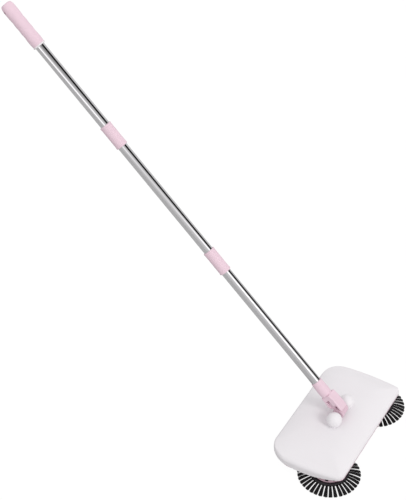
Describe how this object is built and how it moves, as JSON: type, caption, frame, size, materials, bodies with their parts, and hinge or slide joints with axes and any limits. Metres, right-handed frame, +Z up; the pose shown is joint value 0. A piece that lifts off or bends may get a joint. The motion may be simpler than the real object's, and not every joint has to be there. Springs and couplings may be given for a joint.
{
  "type": "carpet sweeper",
  "caption": "Push-along carpet sweeper: low rounded head with side brushes at its front corners, a roller, a slide-out dust tray and a long hinged handle.",
  "frame": {"origin": "on the floor under the middle of the head, midway between its two ends", "axes": "+Z up, -Y the sweeping direction (front of the head), +X to the right seen from behind the front edge looking back; the handle leans towards +Y"},
  "size_m": [0.383, 0.9361, 0.8771],
  "materials": {
    "white_plastic": "smooth moulded white with a faint pink cast",
    "pink_plastic": "smooth moulded pale pink",
    "deep_pink_plastic": "moulded pink, satin",
    "pale_plastic": "moulded pale ring and plugs",
    "polished_tube": "polished stainless steel",
    "steel": "turned bright steel",
    "brass": "sintered bearing bronze",
    "gear_plastic": "natural acetal",
    "grey_plastic": "grey moulded plastic",
    "black_plastic": "black moulded plastic",
    "black_bristle": "black nylon bristle",
    "tyre_rubber": "black rubber",
    "lip_rubber": "dark grey soft rubber"
  },
  "bodies": {
    "head": {"top_shell": "white_plastic", "chassis": "pink_plastic", "hinge_boss_left": "white_plastic", "hinge_boss_right": "white_plastic", "boss_screws": "steel", "tilt_pin": "steel", "shell_screws": "steel", "axle_bush_left": "brass", "axle_bush_right": "brass", "roller_bush_left": "brass", "roller_bush_right": "brass", "idler_pin": "steel", "gear_cover": "grey_plastic", "gear_cover_screws": "steel", "spindle_left": "steel", "spindle_right": "steel", "rear_wheel_pin_left": "steel", "rear_wheel_pin_right": "steel"},
    "tilt_block": {"tilt_block": "deep_pink_plastic"},
    "handle": {"fork_socket": "pink_plastic", "swing_pin": "steel", "socket_screw": "steel", "lower_tube": "polished_tube", "lower_coupler": "pink_plastic", "lower_coupler_nut": "pale_plastic", "middle_tube": "polished_tube", "upper_coupler": "pink_plastic", "upper_coupler_nut": "pale_plastic", "upper_tube": "polished_tube", "grip_collar": "pale_plastic", "grip": "pink_plastic"},
    "wheels": {"drive_axle": "steel", "wheel_hub_left": "grey_plastic", "wheel_hub_right": "grey_plastic", "wheel_tyre_left": "tyre_rubber", "wheel_tyre_right": "tyre_rubber", "axle_gear": "gear_plastic", "pinion_left": "gear_plastic", "pinion_right": "gear_plastic"},
    "idler": {"idler_gear": "gear_plastic"},
    "roller": {"roller_shaft": "steel", "roller_core": "grey_plastic", "roller_bristles": "black_bristle", "roller_gear": "gear_plastic"},
    "side_brush_left": {"side_brush_hub_left": "pink_plastic", "tuft_ring_left": "black_plastic", "bristles_left": "black_bristle"},
    "side_brush_right": {"side_brush_hub_right": "pink_plastic", "tuft_ring_right": "black_plastic", "bristles_right": "black_bristle"},
    "rear_wheel_left": {"rear_wheel_left": "grey_plastic"},
    "rear_wheel_right": {"rear_wheel_right": "grey_plastic"},
    "dust_tray": {"dust_tray": "grey_plastic", "tray_lip": "lip_rubber"}
  },
  "joints": [
    {"name": "handle_tilt", "type": "hinge", "parent": "head", "child": "tilt_block", "pos_m": [0, -0.01, 0.073], "axis": [1, 0, 0], "range_deg": [-36, 46]},
    {"name": "handle_swing", "type": "hinge", "parent": "tilt_block", "child": "handle", "pos_m": [0, 0.0087, 0.09106], "axis": [0, 0.6947, -0.7193], "range_deg": [-45, 45]},
    {"name": "drive_axle_spin", "type": "hinge", "parent": "head", "child": "wheels", "pos_m": [0, -0.0435, 0.024], "axis": [1, 0, 0], "continuous": true},
    {"name": "idler_spin", "type": "hinge", "parent": "head", "child": "idler", "pos_m": [-0.06, -0.0155, 0.02394], "axis": [1, 0, 0], "continuous": true},
    {"name": "roller_spin", "type": "hinge", "parent": "head", "child": "roller", "pos_m": [0, 0.004, 0.0195], "axis": [1, 0, 0], "continuous": true},
    {"name": "side_brush_left_spin", "type": "hinge", "parent": "head", "child": "side_brush_left", "pos_m": [-0.121, -0.0435, 0.012], "axis": [0, 0, 1], "continuous": true},
    {"name": "side_brush_right_spin", "type": "hinge", "parent": "head", "child": "side_brush_right", "pos_m": [0.121, -0.0435, 0.012], "axis": [0, 0, 1], "continuous": true},
    {"name": "rear_wheel_left_spin", "type": "hinge", "parent": "head", "child": "rear_wheel_left", "pos_m": [-0.126, 0.058, 0.011], "axis": [1, 0, 0], "continuous": true},
    {"name": "rear_wheel_right_spin", "type": "hinge", "parent": "head", "child": "rear_wheel_right", "pos_m": [0.126, 0.058, 0.011], "axis": [1, 0, 0], "continuous": true},
    {"name": "dust_tray_slide", "type": "slide", "parent": "head", "child": "dust_tray", "axis": [0, 1, 0], "range_m": [0, 0.07]}
  ],
  "couplings": [
    {"joint": "idler_spin", "follows": "drive_axle_spin", "ratio": -1.3333},
    {"joint": "roller_spin", "follows": "drive_axle_spin", "ratio": 2},
    {"joint": "side_brush_left_spin", "follows": "drive_axle_spin", "ratio": 0.5},
    {"joint": "side_brush_right_spin", "follows": "drive_axle_spin", "ratio": -0.5}
  ]
}
